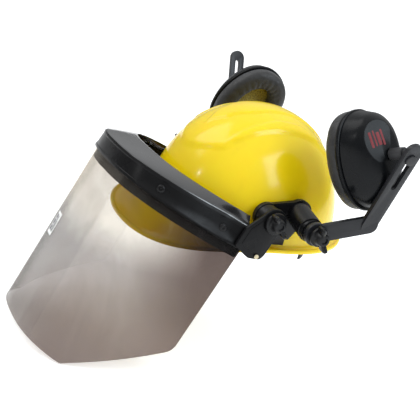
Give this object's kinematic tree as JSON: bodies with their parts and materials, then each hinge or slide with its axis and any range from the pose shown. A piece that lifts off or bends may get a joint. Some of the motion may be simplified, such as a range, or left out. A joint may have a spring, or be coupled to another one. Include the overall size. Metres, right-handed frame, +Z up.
{
  "type": "arborist helmet",
  "caption": "Forestry hard hat with a flip-up clear face shield on a curved carrier and ear muffs on swing-out slotted arms.",
  "frame": {"origin": "middle of the rim's width, above the rim's lower edge plane, at the wearer's mid line", "axes": "+Z up, -Y the way the wearer faces, +X to the wearer's left"},
  "size_m": [0.408, 0.3879, 0.3355],
  "materials": {
    "shell_abs": "glossy moulded ABS",
    "harness_plastic": "satin",
    "strap_webbing": "woven",
    "red_plastic": "satin",
    "carrier_plastic": "semi-gloss",
    "clear_sheet": "clear polycarbonate with smudges",
    "label_film": "printed film",
    "cream_plastic": "satin",
    "fitting_plastic": "satin",
    "pin_plastic": "satin",
    "cup_plastic": "semi-gloss",
    "cushion_leather": "soft leatherette",
    "ear_foam": "open-cell foam"
  },
  "bodies": {
    "helmet": {"helmet_shell": "shell_abs", "headband": "harness_plastic", "sweatband": "strap_webbing", "crown_strap_front": "strap_webbing", "crown_strap_middle": "strap_webbing", "crown_strap_rear": "strap_webbing", "harness_clips": "harness_plastic", "nape_housing": "harness_plastic", "chin_strap_lugs": "harness_plastic", "left_adapter": "fitting_plastic", "right_adapter": "fitting_plastic"},
    "nape_band": {"nape_strap": "harness_plastic"},
    "nape_dial": {"nape_knob": "harness_plastic", "nape_cap": "red_plastic"},
    "face_shield": {"visor_carrier": "carrier_plastic", "brow_guard": "carrier_plastic", "visor_clamp_strip": "carrier_plastic", "visor_sheet": "clear_sheet", "visor_rivets": "carrier_plastic", "carrier_studs": "cream_plastic", "visor_label": "label_film"},
    "left_visor_fastener": {"left_visor_washer": "fitting_plastic", "left_visor_knob": "fitting_plastic"},
    "left_muff_rocker": {"left_arm_seat": "fitting_plastic"},
    "left_muff_arm": {"left_arm": "fitting_plastic"},
    "left_muff_fastener": {"left_arm_knob": "fitting_plastic"},
    "left_muff_slider": {"left_cup_pin": "pin_plastic"},
    "left_muff_swivel": {"left_cup_ball": "pin_plastic"},
    "left_ear_cup": {"left_cup_shell": "cup_plastic", "left_cup_socket": "pin_plastic", "left_cup_plate": "cup_plastic", "left_cushion": "cushion_leather", "left_foam": "ear_foam", "left_cup_mark": "red_plastic"},
    "right_visor_fastener": {"right_visor_washer": "fitting_plastic", "right_visor_knob": "fitting_plastic"},
    "right_muff_rocker": {"right_arm_seat": "fitting_plastic"},
    "right_muff_arm": {"right_arm": "fitting_plastic"},
    "right_muff_fastener": {"right_arm_knob": "fitting_plastic"},
    "right_muff_slider": {"right_cup_pin": "pin_plastic"},
    "right_muff_swivel": {"right_cup_ball": "pin_plastic"},
    "right_ear_cup": {"right_cup_shell": "cup_plastic", "right_cup_socket": "pin_plastic", "right_cup_plate": "cup_plastic", "right_cushion": "cushion_leather", "right_foam": "ear_foam", "right_cup_mark": "red_plastic"}
  },
  "joints": [
    {"name": "visor_tilt", "type": "hinge", "parent": "helmet", "child": "face_shield", "pos_m": [0, -0.0325, 0.042], "axis": [1, 0, 0], "range_deg": [-69, 18]},
    {"name": "nape_dial_turn", "type": "hinge", "parent": "helmet", "child": "nape_dial", "pos_m": [0, 0.1, -0.019], "axis": [0, 1, 0], "range_deg": [0, 270]},
    {"name": "nape_band_slide", "type": "slide", "parent": "helmet", "child": "nape_band", "axis": [0, 1, 0], "range_m": [-0.0121, 0]},
    {"name": "left_visor_knob_turn", "type": "hinge", "parent": "helmet", "child": "left_visor_fastener", "pos_m": [0.128, -0.0325, 0.042], "axis": [1, 0, 0], "range_deg": [-180, 180]},
    {"name": "left_muff_knob_turn", "type": "hinge", "parent": "helmet", "child": "left_muff_fastener", "pos_m": [0.16, 0.001, 0.045], "axis": [1, 0, 0], "range_deg": [-180, 180]},
    {"name": "left_arm_swing", "type": "hinge", "parent": "helmet", "child": "left_muff_rocker", "pos_m": [0.152, 0.001, 0.045], "axis": [1, 0, 0], "range_deg": [-145, 15]},
    {"name": "left_arm_press", "type": "hinge", "parent": "left_muff_rocker", "child": "left_muff_arm", "pos_m": [0.152, 0.001, 0.045], "axis": [0, -0.88, 0.475], "range_deg": [0, 5]},
    {"name": "left_cup_slide", "type": "slide", "parent": "left_muff_arm", "child": "left_muff_slider", "axis": [0.2924, 0, 0.9563], "range_m": [-0.02, 0.002]},
    {"name": "left_cup_turn", "type": "hinge", "parent": "left_muff_slider", "child": "left_muff_swivel", "pos_m": [0.19058, 0.05616, 0.15128], "axis": [0.9563, 0, -0.2924], "range_deg": [-15, 15]},
    {"name": "left_cup_tilt", "type": "hinge", "parent": "left_muff_swivel", "child": "left_ear_cup", "pos_m": [0.18102, 0.05616, 0.15421], "axis": [0, 1, 0], "range_deg": [0, 15]},
    {"name": "right_visor_knob_turn", "type": "hinge", "parent": "helmet", "child": "right_visor_fastener", "pos_m": [-0.128, -0.0325, 0.042], "axis": [1, 0, 0], "range_deg": [-180, 180]},
    {"name": "right_muff_knob_turn", "type": "hinge", "parent": "helmet", "child": "right_muff_fastener", "pos_m": [-0.16, 0.001, 0.045], "axis": [1, 0, 0], "range_deg": [-180, 180]},
    {"name": "right_arm_swing", "type": "hinge", "parent": "helmet", "child": "right_muff_rocker", "pos_m": [-0.152, 0.001, 0.045], "axis": [1, 0, 0], "range_deg": [-145, 15]},
    {"name": "right_arm_press", "type": "hinge", "parent": "right_muff_rocker", "child": "right_muff_arm", "pos_m": [-0.152, 0.001, 0.045], "axis": [0, 0.88, -0.475], "range_deg": [0, 5]},
    {"name": "right_cup_slide", "type": "slide", "parent": "right_muff_arm", "child": "right_muff_slider", "axis": [-0.3827, 0, 0.9239], "range_m": [-0.006, 0.031]},
    {"name": "right_cup_turn", "type": "hinge", "parent": "right_muff_slider", "child": "right_muff_swivel", "pos_m": [-0.1893, 0.05616, 0.11984], "axis": [-0.9239, 0, -0.3827], "range_deg": [-8, 15]},
    {"name": "right_cup_tilt", "type": "hinge", "parent": "right_muff_swivel", "child": "right_ear_cup", "pos_m": [-0.18006, 0.05616, 0.12367], "axis": [0, -1, 0], "range_deg": [-5, 15]}
  ],
  "couplings": [
    {"joint": "nape_band_slide", "follows": "nape_dial_turn", "m_per_rad": -0.002546}
  ]
}
